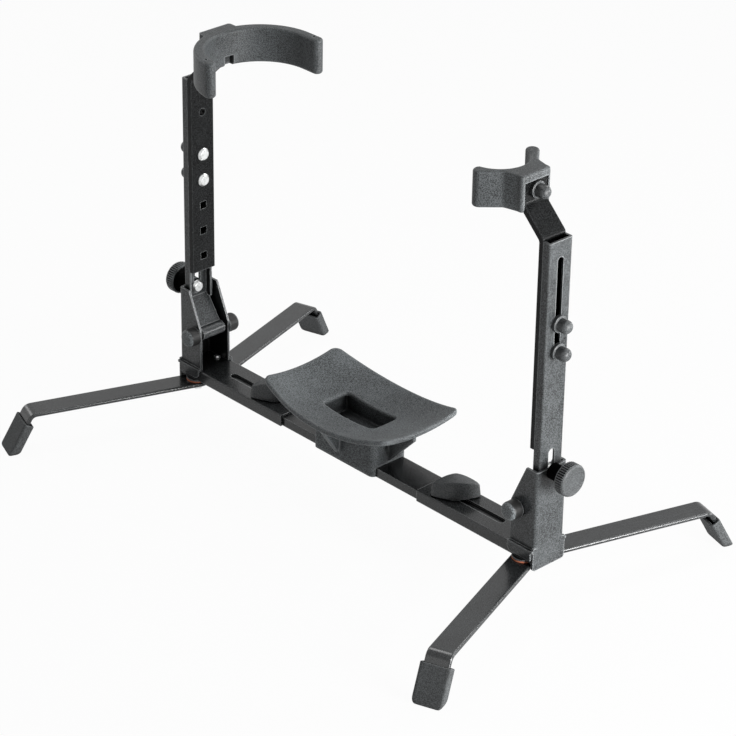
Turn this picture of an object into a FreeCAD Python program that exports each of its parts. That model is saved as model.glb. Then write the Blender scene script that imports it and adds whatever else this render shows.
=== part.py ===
import FreeCAD, Part
import os
import re
import Sketcher

# Folding floor stand for a euphonium. Millimetres, +Z up, rail along X, floor at z = 0.
# Everything is drawn for the right front, at +X and -Y, and mirrored to the other places.

doc = FreeCAD.newDocument("EuphoniumStand")
Vec = FreeCAD.Vector
sheet = doc.addObject("Spreadsheet::Sheet", "sizes")

driving = [
    # legs, washers and feet
    ("leg_width", 22),
    ("leg_thick", 4),
    ("leg_lift", 33.5),
    ("leg_reach", 155),
    ("leg_drop", 61),
    ("leg_splay", 20.3),
    ("rear_reach", 152.11),
    ("rear_splay", 16.9),
    ("leg_bend", 9),
    ("leg_edge", 1.8),
    ("fibre_thick", 1.2),
    ("washer_thick", 1.2),
    ("washer_dia", 19),
    ("spacer_dia", 7.6),
    ("pin_dia", 5),
    ("pin_head_dia", 6.2),
    ("pin_head_high", 2),
    ("nut_wide", 8),
    ("nut_high", 4.6),
    ("running_gap", 0.05),
    ("pivot_x", 201.5),
    ("pivot_y", 11.5),
    ("foot_width", 27),
    ("foot_depth", 9),
    ("foot_length", 31.5),
    ("foot_wall", 2),
    ("foot_corner", 2.4),
    ("foot_toe", 4.5),
    ("foot_sole", 5),
    # rail
    ("rail_width", 35),
    ("rail_height", 10.4),
    ("rail_sheet", 2),
    ("nest_gap", 0.3),
    ("rail_start", 84),
    ("centre_half", 145),
    ("tongue_end", 176),
    ("tongue_width", 13),
    ("stud_place", 112),
    ("stud_dia", 6),
    ("stud_head_dia", 11),
    ("stud_head_high", 3.5),
    ("slot_start", 100),
    ("slot_end", 168),
    ("slot_width", 7),
    # wing knobs
    ("knob_long", 44),
    ("knob_wide", 20.4),
    ("knob_high", 15.9),
    ("knob_end_high", 10.7),
    ("knob_draft", 7),
    ("knob_turn", 46),
    ("wing_washer_dia", 17),
    ("wing_washer_thick", 1),
    # bracket
    ("plate_face", 218),
    ("bracket_sheet", 2),
    ("bracket_width", 33.6),
    ("bracket_height", 73),
    ("bracket_round", 3),
    ("plate_drop", 17),
    ("plate_foot_width", 36),
    ("plate_foot_high", 3.7),
    ("plate_corner", 3),
    ("wing_top", 12.5),
    ("wing_base", 27.6),
    ("wing_straight", 38.6),
    ("skirt_gap", 0.1),
    ("skirt_drop", 7.3),
    ("skirt_round", 5),
    ("notch_width", 7),
    ("bolt_height", 69.7),
    # hinge
    ("hinge_in", 21.2),
    ("hinge_height", 32.9),
    ("rod_dia", 8),
    ("rod_out", 5),
    ("knuckle_wall", 2),
    ("knuckle_width", 24),
    ("cap_dia", 16),
    ("cap_long", 11.5),
    ("cap_dome", 3.8),
    # uprights
    ("upright_width", 25),
    ("upright_depth", 7.5),
    ("upright_sheet", 2),
    ("upright_height", 269.7),
    ("fold_height", 58.7),
    ("upper_slot_width", 6.4),
    ("upper_slot_top", 255.7),
    ("upper_slot_bottom", 169.7),
    ("lower_slot_width", 6.8),
    ("lower_slot_top", 88.6),
    ("lower_slot_bottom", 63.5),
    # straps
    ("strap_width", 25),
    ("strap_thick", 4.5),
    ("strap_start", 89),
    ("strap_bend_low", 270.2),
    ("strap_bend_high", 291.1),
    ("strap_crank", 21.5),
    ("strap_end", 310.2),
    ("strap_bend", 4),
    ("strap_edge", 0.8),
    ("hole_size", 6.6),
    ("hole_pitch", 24),
    ("hole_count", 5),
    ("hole_top", 199.2),
    ("pin_hole_dia", 6.5),
    ("pin_hole_up", 238.2),
    # bolts, nuts and thumb knobs
    ("bolt_dia", 6),
    ("bolt_head_dia", 11.6),
    ("bolt_head_high", 2.8),
    ("bolt_neck", 6.3),
    ("cap_nut_dia", 14),
    ("cap_nut_rim", 3),
    ("cap_nut_ball", 11.2),
    ("cap_nut_long", 13.5),
    ("thumb_dia", 27.5),
    ("thumb_thick", 9.4),
    ("thumb_collar_dia", 13.6),
    ("thumb_collar_long", 13.8),
    ("thumb_edge", 1),
    # bell holder and fork
    ("socket_gap", 0.2),
    ("socket_wall", 3.2),
    ("socket_lip", 0.8),
    ("nut_down", 7.4),
    ("stud_skin", 2.5),
    ("holder_in", 58),
    ("holder_outer", 55),
    ("holder_inner", 45.5),
    ("holder_tip_in", 72),
    ("holder_near_turn", 84),
    ("holder_hang", 22),
    ("holder_rise", 9.2),
    ("holder_edge", 2.5),
    ("holder_block_width", 34),
    ("relief_side", 5),
    ("relief_wide", 9),
    ("relief_deep", 4.5),
    ("relief_high", 9),
    ("pit_dia", 2.6),
    ("pit_deep", 2.5),
    ("pit_turn", 77),
    ("pit_back", 4),
    ("fork_hang", 24),
    ("fork_rise", 6.7),
    ("fork_bend_in", 16),
    ("fork_bend_y", 18.7),
    ("fork_tip_in", 28.3),
    ("fork_tip_y", 32.4),
    ("fork_nose_in", 36.07),
    ("fork_nose_y", 32.26),
    ("fork_inner_in", 35.9),
    ("fork_inner_y", 24.5),
    ("fork_nose", 5.5),
    ("fork_bottom_in", 16),
    ("fork_edge", 2.2),
    # cradle
    ("cradle_place", -3.5),
    ("cradle_half_long", 76),
    ("cradle_half_wide", 42),
    ("cradle_bulge", 8.5),
    ("cradle_corner", 9),
    ("cradle_radius", 190),
    ("cradle_low", 29.7),
    ("cradle_thick", 4.5),
    ("cradle_rim", 1.6),
    ("cradle_hole_long", 62),
    ("cradle_hole_wide", 29),
    ("cradle_hole_corner", 4),
    ("block_half_long", 37),
    ("block_half_wide", 19.5),
    ("block_wall", 3),
    ("block_corner", 5),
    ("block_drop", 10.2),
    ("block_floor", 15.5),
    ("block_deck", 3),
    ("boss_dia", 10),
    ("rib_thick", 3.5),
    ("gusset_place", -5),
    ("gusset_out", 45),
    ("gusset_low", 1.7),
    ("rib_out", 66),
    ("screw_place", 18),
    ("screw_dia", 4),
    ("screw_head_dia", 8),
    ("screw_head_high", 2.6),
]
worked_out = [
    ("rail_bottom", "leg_lift + leg_thick + fibre_thick + washer_thick"),
    ("rail_top", "rail_bottom + rail_height"),
    ("under_top", "rail_top - rail_sheet"),
    ("centre_top", "under_top - nest_gap"),
    ("centre_wide", "rail_width / 2 - rail_sheet - nest_gap"),
    ("plate_inner", "plate_face - bracket_sheet"),
    ("rod_x", "plate_face - hinge_in"),
    ("rod_z", "rail_top + hinge_height"),
    ("web_inner", "plate_inner - upright_sheet"),
    ("strap_face", "plate_inner - upright_depth"),
    ("strap_inner", "strap_face - strap_thick"),
    ("crank_face", "strap_face - strap_crank"),
    ("crank_inner", "strap_inner - strap_crank"),
    ("holder_low", "strap_end - holder_hang"),
    ("holder_high", "strap_end + holder_rise"),
    ("fork_low", "strap_end - fork_hang"),
    ("fork_high", "strap_end + fork_rise"),
    ("holder_centre", "crank_face - holder_in"),
    ("holder_tip", "crank_face - holder_tip_in"),
    ("socket_back", "crank_face + socket_lip"),
    ("fork_bottom_x", "crank_face - fork_bottom_in"),
    ("bolt_z", "rail_top + bolt_height"),
    ("neck_hole_z", "rail_top + hole_top"),
    ("nut_z", "rail_top + strap_end - nut_down"),
    ("bowl_z", "rail_top + cradle_low + cradle_radius"),
]
known = set(name for name, value in driving + worked_out)
for row, (name, value) in enumerate(driving + worked_out, start=1):
    sheet.set("A%d" % row, name)
    sheet.set("B%d" % row, "=" + value if isinstance(value, str) else str(value))
    sheet.setAlias("B%d" % row, name)
doc.recompute()


def ex(text):
    def full(found):
        word = found.group(0)
        return "sizes." + word if word in known else word
    return re.sub(r"[A-Za-z_]\w*", full, text)


def number(text):
    result = sheet.evalExpression(re.sub(r"\bsizes\.", "", ex(text)))
    return float(getattr(result, "Value", result))


def body(label):
    item = doc.addObject("PartDesign::Body", label)
    item.Label = label
    return item


def plane(owner, role):
    return [item for item in owner.Origin.OriginFeatures if item.Role == role][0]


def sketch(owner, role, shift="0"):
    item = owner.newObject("Sketcher::SketchObject", owner.Name + "_sketch")
    item.AttachmentSupport = [(plane(owner, role), "")]
    item.MapMode = "FlatFace"
    item.setExpression("AttachmentOffset.Base.z", ex(shift))
    return item


def tie(item, rules):
    # rules: constraint arguments and the expression that drives each
    made = [Sketcher.Constraint(*(list(args) + [number(text)])) for args, text in rules]
    first = item.ConstraintCount
    item.addConstraint(made)
    for step, (args, text) in enumerate(rules):
        item.setExpression("Constraints[%d]" % (first + step), ex(text))


def path(item, points, arcs=None):
    # closed outline; arcs[i] is the radius of the side after point i, below zero when it turns clockwise
    arcs = arcs or {}
    first = item.GeometryCount
    spots = [Vec(number(x), number(y), 0) for x, y in points]
    count = len(spots)
    sides = []
    ends = []
    for i in range(count):
        a, b = spots[i], spots[(i + 1) % count]
        if i not in arcs:
            sides.append(Part.LineSegment(a, b))
            ends.append((1, 2))
            continue
        text, turn = arcs[i]
        radius = number(text)
        half = (b - a) * 0.5
        left = Vec(-half.y, half.x, 0).normalize() * turn
        middle = a + half + left * max(radius ** 2 - half.Length ** 2, 0) ** 0.5
        circle = Part.Circle(middle, Vec(0, 0, 1), radius)
        start, stop = (a, b) if turn > 0 else (b, a)
        sides.append(Part.ArcOfCircle(circle, circle.parameter(start), circle.parameter(stop)))
        ends.append((1, 2) if turn > 0 else (2, 1))
    item.addGeometry(sides, False)
    joins = []
    for i in range(count):
        k = (i + 1) % count
        joins.append(Sketcher.Constraint("Coincident", first + i, ends[i][1], first + k, ends[k][0]))
    item.addConstraint(joins)
    rules = []
    for i, (x, y) in enumerate(points):
        rules.append((("DistanceX", -1, 1, first + i, ends[i][0]), x))
        rules.append((("DistanceY", -1, 1, first + i, ends[i][0]), y))
    for i, (text, turn) in arcs.items():
        rules.append((("Radius", first + i), text))
    tie(item, rules)


def ring(item, x, y, radius):
    index = item.addGeometry(Part.Circle(Vec(number(x), number(y), 0), Vec(0, 0, 1), number(radius)), False)
    tie(item, [(("DistanceX", -1, 1, index, 3), x), (("DistanceY", -1, 1, index, 3), y),
               (("Radius", index), radius)])


def upright_slot(item, x, low, high, width):
    # low and high are the lowest and highest points of the rounded ends
    r = "(%s) / 2" % width
    a, b = "%s - %s" % (x, r), "%s + %s" % (x, r)
    y0, y1 = "%s + %s" % (low, r), "%s - %s" % (high, r)
    path(item, [(a, y0), (x, low), (b, y0), (b, y1), (x, high), (a, y1)],
         {0: (r, 1), 1: (r, 1), 3: (r, 1), 4: (r, 1)})


def level_slot(item, low, high, y, width):
    r = "(%s) / 2" % width
    a, b = "%s + %s" % (low, r), "%s - %s" % (high, r)
    y0, y1 = "%s - %s" % (y, r), "%s + %s" % (y, r)
    path(item, [(a, y0), (b, y0), (high, y), (b, y1), (a, y1), (low, y)],
         {1: (r, 1), 2: (r, 1), 4: (r, 1), 5: (r, 1)})


def box_path(item, x0, y0, x1, y1):
    path(item, [(x0, y0), (x1, y0), (x1, y1), (x0, y1)])


def pad(owner, item, length, both=False, back=False):
    made = owner.newObject("PartDesign::Pad", owner.Name + "_pad")
    made.Profile = item
    made.setExpression("Length", ex(length))
    if both:
        made.SideType = "Symmetric"
    made.Reversed = back
    doc.recompute()
    return made


def pocket(owner, item, length=None, back=False):
    # without a length it goes right through, both ways
    before = owner.Shape.Volume
    made = owner.newObject("PartDesign::Pocket", owner.Name + "_pocket")
    made.Profile = item
    if length is None:
        made.Type = "ThroughAll"
        made.SideType = "Symmetric"
    else:
        made.setExpression("Length", ex(length))
        made.Reversed = back
    doc.recompute()
    if owner.Shape.Volume > before - 1e-6:
        raise RuntimeError("pocket took nothing off " + owner.Name)
    return made


def rounded(owner, radius, test):
    base = owner.Tip
    names = ["Edge%d" % (i + 1) for i, edge in enumerate(base.Shape.Edges) if test(edge)]
    if not names:
        raise RuntimeError("no edge to round on " + owner.Name)
    made = owner.newObject("PartDesign::Fillet", owner.Name + "_round")
    made.Base = (base, names)
    made.setExpression("Radius", ex(radius))
    doc.recompute()
    return made


def runs(edge, axis):
    # straight edge along x, y or z
    if edge.Curve.TypeId != "Part::GeomLine":
        return False
    step = edge.Vertexes[-1].Point - edge.Vertexes[0].Point
    return abs(abs(getattr(step.normalize(), axis)) - 1) < 1e-6


def turned(label, points, arcs=None):
    # radius and height pairs, spun about the body's own Z
    owner = body(label)
    item = sketch(owner, "XZ_Plane")
    path(item, points, arcs)
    made = owner.newObject("PartDesign::Revolution", label + "_turn")
    made.Profile = item
    made.ReferenceAxis = (item, ["V_Axis"])
    made.Angle = 360
    doc.recompute()
    return owner


def put(item, x, y, z, axis=None):
    # axis is the direction in which the piece's own Z points
    turn = FreeCAD.Rotation(Vec(0, 0, 1), axis) if axis else FreeCAD.Rotation()
    item.Placement = FreeCAD.Placement(Vec(0, 0, 0), turn)
    for part, text in zip("xyz", (x, y, z)):
        item.setExpression("Placement.Base." + part, ex(text))
    return item


def mirrored(source, label, normal):
    made = doc.addObject("Part::Mirroring", label)
    made.Source = source
    made.Normal = normal
    made.Label = label
    return made


def group(label, members):
    made = doc.addObject("Part::Compound", label)
    made.Links = members
    made.Label = label
    return made


acrossX, acrossY = Vec(1, 0, 0), Vec(0, 1, 0)
outward, towards = Vec(1, 0, 0), Vec(0, -1, 0)
nodes = []


def both_ends(item, name):
    # item is the right-hand piece; its mirror image is the left-hand one
    nodes.append(item)
    nodes.append(mirrored(item, "left_" + name, acrossX))


def front_and_back(item, name):
    # near piece and its mirror image, together one node at each end
    pair = group("right_" + name, [item, mirrored(item, item.Name + "_rear", acrossY)])
    both_ends(pair, name)


# centre rail: inverted channel with a tongue at each end and holes for two studs and two screws
centre = body("centre_rail")
item = sketch(centre, "YZ_Plane")
path(item, [("-centre_wide", "rail_bottom"), ("rail_sheet - centre_wide", "rail_bottom"),
            ("rail_sheet - centre_wide", "centre_top - rail_sheet"),
            ("centre_wide - rail_sheet", "centre_top - rail_sheet"),
            ("centre_wide - rail_sheet", "rail_bottom"), ("centre_wide", "rail_bottom"),
            ("centre_wide", "centre_top"), ("-centre_wide", "centre_top")])
pad(centre, item, "2 * centre_half", both=True)
item = sketch(centre, "XY_Plane", "centre_top - rail_sheet")
box_path(item, "-tongue_end", "-tongue_width / 2", "tongue_end", "tongue_width / 2")
pad(centre, item, "rail_sheet")
item = sketch(centre, "XY_Plane", "centre_top")
for sign in ("", "-"):
    ring(item, sign + "stud_place", "0", "stud_dia / 2 + running_gap")
    ring(item, "cradle_place %s screw_place" % (sign or "+"), "0", "screw_dia / 2 + running_gap")
pocket(centre, item)
nodes.append(centre)

# end channels: slotted inverted channels over the centre rail
channel = body("right_rail_channel")
item = sketch(channel, "YZ_Plane", "rail_start")
path(item, [("-rail_width / 2", "rail_bottom"), ("rail_sheet - rail_width / 2", "rail_bottom"),
            ("rail_sheet - rail_width / 2", "under_top"), ("rail_width / 2 - rail_sheet", "under_top"),
            ("rail_width / 2 - rail_sheet", "rail_bottom"), ("rail_width / 2", "rail_bottom"),
            ("rail_width / 2", "rail_top"), ("-rail_width / 2", "rail_top")])
pad(channel, item, "plate_inner - rail_start")
rounded(channel, "1.2", lambda e: runs(e, "x") and abs(e.CenterOfMass.z - number("rail_top")) < 0.01)
item = sketch(channel, "XY_Plane", "rail_top")
level_slot(item, "slot_start", "slot_end", "0", "slot_width")
for sign in ("", "-"):
    ring(item, "pivot_x", sign + "pivot_y", "pin_dia / 2 + running_gap")
pocket(channel, item)
both_ends(channel, "rail_channel")

# wing knobs with washer and stud
stud = turned("right_wing_stud", [
    ("0", "-stud_head_high"), ("stud_head_dia / 2", "-stud_head_high"), ("stud_head_dia / 2", "0"),
    ("stud_dia / 2", "0"), ("stud_dia / 2", "rail_sheet + nest_gap + rail_sheet + knob_high * 0.65"),
    ("0", "rail_sheet + nest_gap + rail_sheet + knob_high * 0.65")])
both_ends(put(stud, "stud_place", "0", "centre_top - rail_sheet"), "wing_stud")
washer = turned("right_wing_washer", [
    ("stud_dia / 2 + running_gap", "0"), ("wing_washer_dia / 2", "0"),
    ("wing_washer_dia / 2", "wing_washer_thick"), ("stud_dia / 2 + running_gap", "wing_washer_thick")])
both_ends(put(washer, "stud_place", "0", "rail_top"), "wing_washer")
knob = body("right_wing_knob")
item = sketch(knob, "XY_Plane")
flank = "(knob_long ^ 2 / 4 + knob_wide ^ 2 / 4) / knob_wide"
path(item, [("-knob_long / 2", "0"), ("knob_long / 2", "0")], {0: (flank, 1), 1: (flank, 1)})
made = pad(knob, item, "knob_high")
made.setExpression("TaperAngle", ex("-knob_draft"))
doc.recompute()
rounded(knob, "3", lambda e: e.BoundBox.ZLength > 1)
item = sketch(knob, "XZ_Plane")
arch_rise = "(knob_high - knob_end_high)"
arch = "(knob_long ^ 2 / 4 + %s ^ 2) / 2 / %s" % (arch_rise, arch_rise)
path(item, [("-knob_long / 2", "knob_end_high"), ("knob_long / 2", "knob_end_high"),
            ("knob_long / 2", "knob_high + 3"), ("-knob_long / 2", "knob_high + 3")], {0: (arch, -1)})
pocket(knob, item)
rounded(knob, "1", lambda e: e.BoundBox.ZMin > number("knob_end_high") - 2)
item = sketch(knob, "XY_Plane")
ring(item, "0", "0", "stud_dia / 2 + running_gap")
pocket(knob, item, "knob_high * 0.7", back=True)
knob.Placement = FreeCAD.Placement(Vec(0, 0, 0), FreeCAD.Rotation(Vec(0, 0, 1), number("knob_turn")))
for part, text in zip("xyz", ("stud_place", "0", "rail_top + wing_washer_thick")):
    knob.setExpression("Placement.Base." + part, ex(text))
nodes.append(knob)
nodes.append(mirrored(mirrored(knob, "left_wing_turned", acrossX), "left_wing_knob", acrossY))

# brackets: plate with a notch, two slanted wings, ledges and skirts over the rail
bracket = body("right_bracket")
plate_low, plate_step = "rail_top - plate_drop", "rail_top + plate_foot_high"
plate_high = "rail_top + bracket_height"
wing_edge, bend_x, wing_y = "plate_face - wing_base", "plate_face - bracket_round", "bracket_width / 2"
wing_in, bend_y = "(bracket_width / 2 - bracket_sheet)", "(bracket_width / 2 - bracket_round)"
bend_in = "bracket_round - bracket_sheet"
item = sketch(bracket, "XY_Plane", "rail_top")
path(item, [(wing_edge, "-" + wing_y), (bend_x, "-" + wing_y),
            ("plate_face", "-" + bend_y), ("plate_face", bend_y), (bend_x, wing_y),
            (wing_edge, wing_y), (wing_edge, wing_in), (bend_x, wing_in),
            ("plate_inner", bend_y), ("plate_inner", "-" + bend_y), (bend_x, "-" + wing_in),
            (wing_edge, "-" + wing_in)],
     {1: ("bracket_round", 1), 3: ("bracket_round", 1), 7: (bend_in, -1), 9: (bend_in, -1)})
pad(bracket, item, "bracket_height")
item = sketch(bracket, "XZ_Plane")
path(item, [(wing_edge, "rail_top + wing_straight"), ("plate_face - wing_top", plate_high),
            ("plate_face - wing_top", plate_high + " + 1"), (wing_edge + " - 1", plate_high + " + 1"),
            (wing_edge + " - 1", "rail_top + wing_straight")])
pocket(bracket, item)
item = sketch(bracket, "YZ_Plane", "plate_inner")
path(item, [("-notch_width / 2", "bolt_z"), ("0", "bolt_z - notch_width / 2"), ("notch_width / 2", "bolt_z"),
            ("notch_width / 2", plate_high + " + 1"), ("-notch_width / 2", plate_high + " + 1")],
     {0: ("notch_width / 2", 1), 1: ("notch_width / 2", 1)})
pocket(bracket, item)
item = sketch(bracket, "YZ_Plane", "plate_inner")
box_path(item, "-plate_foot_width / 2", plate_low, "plate_foot_width / 2", plate_step)
pad(bracket, item, "bracket_sheet")
rounded(bracket, "plate_corner", lambda e: runs(e, "x") and abs(e.CenterOfMass.z - number(plate_low)) < 0.01)
item = sketch(bracket, "XZ_Plane", "bracket_width / 2 - bracket_sheet")
box_path(item, "plate_face - wing_base", "rail_top", "plate_face", "rail_top + bracket_sheet")
ledge = pad(bracket, item, "rail_width / 2 + skirt_gap + 2 * bracket_sheet - bracket_width / 2")
item = sketch(bracket, "XZ_Plane", "rail_width / 2 + skirt_gap")
path(item, [("plate_face - wing_base + skirt_round", "rail_top - skirt_drop"),
            ("plate_inner", "rail_top - skirt_drop"), ("plate_inner", "rail_top + bracket_sheet"),
            ("plate_face - wing_base", "rail_top + bracket_sheet"),
            ("plate_face - wing_base", "rail_top - skirt_drop + skirt_round")], {4: ("skirt_round", 1)})
skirt = pad(bracket, item, "bracket_sheet")
twin = bracket.newObject("PartDesign::Mirrored", "right_bracket_twin")
twin.Originals = [ledge, skirt]
twin.MirrorPlane = (plane(bracket, "XZ_Plane"), [""])
bracket.Tip = twin
doc.recompute()
item = sketch(bracket, "XZ_Plane")
ring(item, "rod_x", "rod_z", "rod_dia / 2 + running_gap")
pocket(bracket, item)
both_ends(bracket, "bracket")

# hinge rods and their caps
rod = turned("right_hinge_rod", [
    ("0", "-bracket_width / 2 - rod_out"), ("rod_dia / 2", "-bracket_width / 2 - rod_out"),
    ("rod_dia / 2", "bracket_width / 2 + rod_out"), ("0", "bracket_width / 2 + rod_out")])
both_ends(put(rod, "rod_x", "0", "rod_z", towards), "hinge_rod")
cap = turned("right_rod_cap", [
    ("rod_dia / 2 + running_gap", "0"), ("cap_dia / 2", "0"), ("cap_dia / 2", "cap_long"), ("0", "cap_long"),
    ("0", "rod_out + running_gap"), ("rod_dia / 2 + running_gap", "rod_out + running_gap")])
rounded(cap, "cap_dome", lambda e: abs(e.BoundBox.ZMin - number("cap_long")) < 0.01
        and abs(e.BoundBox.ZMax - number("cap_long")) < 0.01)
front_and_back(put(cap, "rod_x", "-bracket_width / 2", "rod_z", towards), "rod_caps")

# leg pivots
pin = turned("right_pivot_pin", [
    ("0", "leg_lift - nut_high - 0.6"), ("pin_dia / 2", "leg_lift - nut_high - 0.6"),
    ("pin_dia / 2", "rail_top"), ("pin_head_dia / 2", "rail_top"),
    ("pin_head_dia / 2", "rail_top + pin_head_high * 0.6"),
    ("pin_head_dia / 2 - 0.8", "rail_top + pin_head_high"), ("0", "rail_top + pin_head_high")])
front_and_back(put(pin, "pivot_x", "-pivot_y", "0"), "pivot_pins")


def sleeve(label, low, high, dia):
    bore = "pin_dia / 2 + running_gap"
    made = turned(label, [(bore, low), (dia + " / 2", low), (dia + " / 2", high), (bore, high)])
    return put(made, "pivot_x", "-pivot_y", "0")


front_and_back(sleeve("right_spacer", "rail_bottom", "under_top", "spacer_dia"), "pivot_spacers")
front_and_back(sleeve("right_steel_washer", "rail_bottom - washer_thick", "rail_bottom", "washer_dia"),
               "steel_washers")
front_and_back(sleeve("right_fibre_washer", "leg_lift + leg_thick", "leg_lift + leg_thick + fibre_thick",
                      "washer_dia"), "fibre_washers")
nut = body("right_lock_nut")
item = sketch(nut, "XY_Plane", "leg_lift - nut_high")
across = "nut_wide / 2"
reach = "nut_wide / 2 / cos(30)"
path(item, [(reach, "0"), (reach + " / 2", across), ("-%s / 2" % reach, across), ("-" + reach, "0"),
            ("-%s / 2" % reach, "-" + across), (reach + " / 2", "-" + across)])
pad(nut, item, "nut_high")
item = sketch(nut, "XY_Plane")
ring(item, "0", "0", "pin_dia / 2 + running_gap")
pocket(nut, item)
front_and_back(put(nut, "pivot_x", "-pivot_y", "0"), "lock_nuts")

# legs: flat bar along the body's X from its pivot, bent down to the floor
slope = "((leg_lift + leg_thick / 2) / sin(leg_drop) - foot_sole)"
side_x, side_z = "leg_thick / 2 * sin(leg_drop)", "leg_thick / 2 * cos(leg_drop)"


def make_leg(label, reach):
    leg = body(label)
    item = sketch(leg, "XZ_Plane")
    mitre = "leg_thick / 2 * tan(leg_drop / 2)"
    end_x, end_z = "%s + %s * cos(leg_drop)" % (reach, slope), "leg_thick / 2 - %s * sin(leg_drop)" % slope
    path(item, [("-leg_width / 2", "0"), ("%s - %s" % (reach, mitre), "0"),
                ("%s - %s" % (end_x, side_x), "%s - %s" % (end_z, side_z)),
                ("%s + %s" % (end_x, side_x), "%s + %s" % (end_z, side_z)),
                ("%s + %s" % (reach, mitre), "leg_thick"), ("-leg_width / 2", "leg_thick")])
    pad(leg, item, "leg_width", both=True)
    rounded(leg, "leg_width / 2 - 0.05", lambda e: runs(e, "z") and e.CenterOfMass.x < 0)
    for level, radius in (("0", "leg_bend - leg_thick"), ("leg_thick", "leg_bend")):
        rounded(leg, radius, lambda e: runs(e, "y") and abs(e.CenterOfMass.z - number(level)) < 0.01
                and e.CenterOfMass.x > number(reach) - 10)
    rounded(leg, "leg_edge", lambda e: runs(e, "x")
            and abs(abs(e.CenterOfMass.y) - number("leg_width / 2")) < 0.01)
    item = sketch(leg, "XY_Plane")
    ring(item, "0", "0", "pin_dia / 2 + running_gap")
    pocket(leg, item)
    return leg


# feet: hollow boots pushed over the leg ends, Z along the sloping leg from the floor upwards
def make_foot(label):
    foot = body(label)
    half_wide, half_deep = "foot_width / 2", "foot_depth / 2"
    item = sketch(foot, "XY_Plane", "foot_length")
    box_path(item, "-" + half_wide, "-" + half_deep, half_wide, half_deep)
    pad(foot, item, "foot_length + foot_depth", back=True)
    item = sketch(foot, "YZ_Plane")
    along_y, along_z = "40 * sin(leg_drop)", "40 * cos(leg_drop)"
    down_y, down_z = "30 * cos(leg_drop)", "30 * sin(leg_drop)"
    path(item, [("-" + along_y, "-" + along_z),
                ("%s - %s" % (down_y, along_y), "-%s - %s" % (down_z, along_z)),
                ("%s + %s" % (down_y, along_y), "%s - %s" % (along_z, down_z)), (along_y, along_z)])
    pocket(foot, item)
    rounded(foot, "foot_toe", lambda e: abs(abs(e.CenterOfMass.x) - number(half_wide)) < 0.01
            and not runs(e, "z") and not runs(e, "y"))
    rounded(foot, "foot_corner", lambda e: runs(e, "z"))
    item = sketch(foot, "XY_Plane", "foot_length")
    box_path(item, "foot_wall - " + half_wide, "foot_wall - " + half_deep,
             half_wide + " - foot_wall", half_deep + " - foot_wall")
    pocket(foot, item, "foot_length - foot_sole")
    return foot


lean = FreeCAD.Rotation(Vec(0, 1, 0), number("leg_drop") - 90).multiply(FreeCAD.Rotation(Vec(0, 0, 1), 90))
for end, reach, splay in (("front", "leg_reach", "leg_splay"), ("rear", "rear_reach", "rear_splay")):
    name = "right_front_%s" if end == "front" else "rear_%s_plan"
    turn = FreeCAD.Rotation(Vec(0, 0, 1), number(splay) - 90)
    place = FreeCAD.Placement(Vec(number("pivot_x"), -number("pivot_y"), number("leg_lift")), turn)
    touch = number("%s + (leg_lift + leg_thick / 2) / tan(leg_drop)" % reach)
    leg, foot = make_leg(name % "leg", reach), make_foot(name % "foot")
    leg.Placement = place
    foot.Placement = place.multiply(FreeCAD.Placement(Vec(touch, 0, -number("leg_lift")), lean))
    for piece, kind in ((leg, "leg"), (foot, "foot")):
        if end == "rear":
            piece = mirrored(piece, "right_rear_" + kind, acrossY)
        both_ends(piece, "%s_%s" % (end, kind))

# uprights: channel with two slots, tongue and knuckle round the hinge rod
upright = body("right_upright")
fold_z = "rail_top + fold_height"
item = sketch(upright, "XY_Plane", fold_z)
inner_half = "(upright_width / 2 - upright_sheet)"
path(item, [("strap_face", "-upright_width / 2"), ("plate_inner", "-upright_width / 2"),
            ("plate_inner", "upright_width / 2"), ("strap_face", "upright_width / 2"),
            ("strap_face", inner_half), ("web_inner", inner_half),
            ("web_inner", "-" + inner_half), ("strap_face", "-" + inner_half)])
pad(upright, item, "upright_height - fold_height")
rounded(upright, "1.6", lambda e: runs(e, "z") and abs(e.CenterOfMass.x - number("plate_inner")) < 0.01)
item = sketch(upright, "YZ_Plane", "plate_inner")
upright_slot(item, "0", "rail_top + upper_slot_bottom", "rail_top + upper_slot_top", "upper_slot_width")
upright_slot(item, "0", "rail_top + lower_slot_bottom", "rail_top + lower_slot_top", "lower_slot_width")
pocket(upright, item)
item = sketch(upright, "XZ_Plane")
knuckle = "(rod_dia / 2 + knuckle_wall)"
path(item, [("rod_x + 0.5", "rod_z"), ("rod_x + %s" % knuckle, "rod_z"), ("plate_inner", fold_z),
            ("plate_inner", fold_z + " + upright_sheet"), ("web_inner", fold_z + " + upright_sheet"),
            ("rod_x + 1", "rod_z + %s" % knuckle)])
pad(upright, item, "knuckle_width", both=True)
item = sketch(upright, "XZ_Plane")
ring(item, "rod_x", "rod_z", knuckle)
pad(upright, item, "knuckle_width", both=True)
item = sketch(upright, "XZ_Plane")
ring(item, "rod_x", "rod_z", "rod_dia / 2 + running_gap")
pocket(upright, item)
both_ends(upright, "upright")


# bolts with a low round head and a square neck, along the body's Z
def coach_bolt(label, neck, length):
    made = turned(label, [
        ("0", "-bolt_head_high"), ("bolt_head_dia / 2 - 1.6", "-bolt_head_high"),
        ("bolt_head_dia / 2", "-bolt_head_high * 0.35"), ("bolt_head_dia / 2", "0"), ("bolt_dia / 2", "0"),
        ("bolt_dia / 2", length), ("0", length)])
    item = sketch(made, "XY_Plane")
    box_path(item, "-bolt_neck / 2", "-bolt_neck / 2", "bolt_neck / 2", "bolt_neck / 2")
    pad(made, item, neck)
    return made


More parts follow.
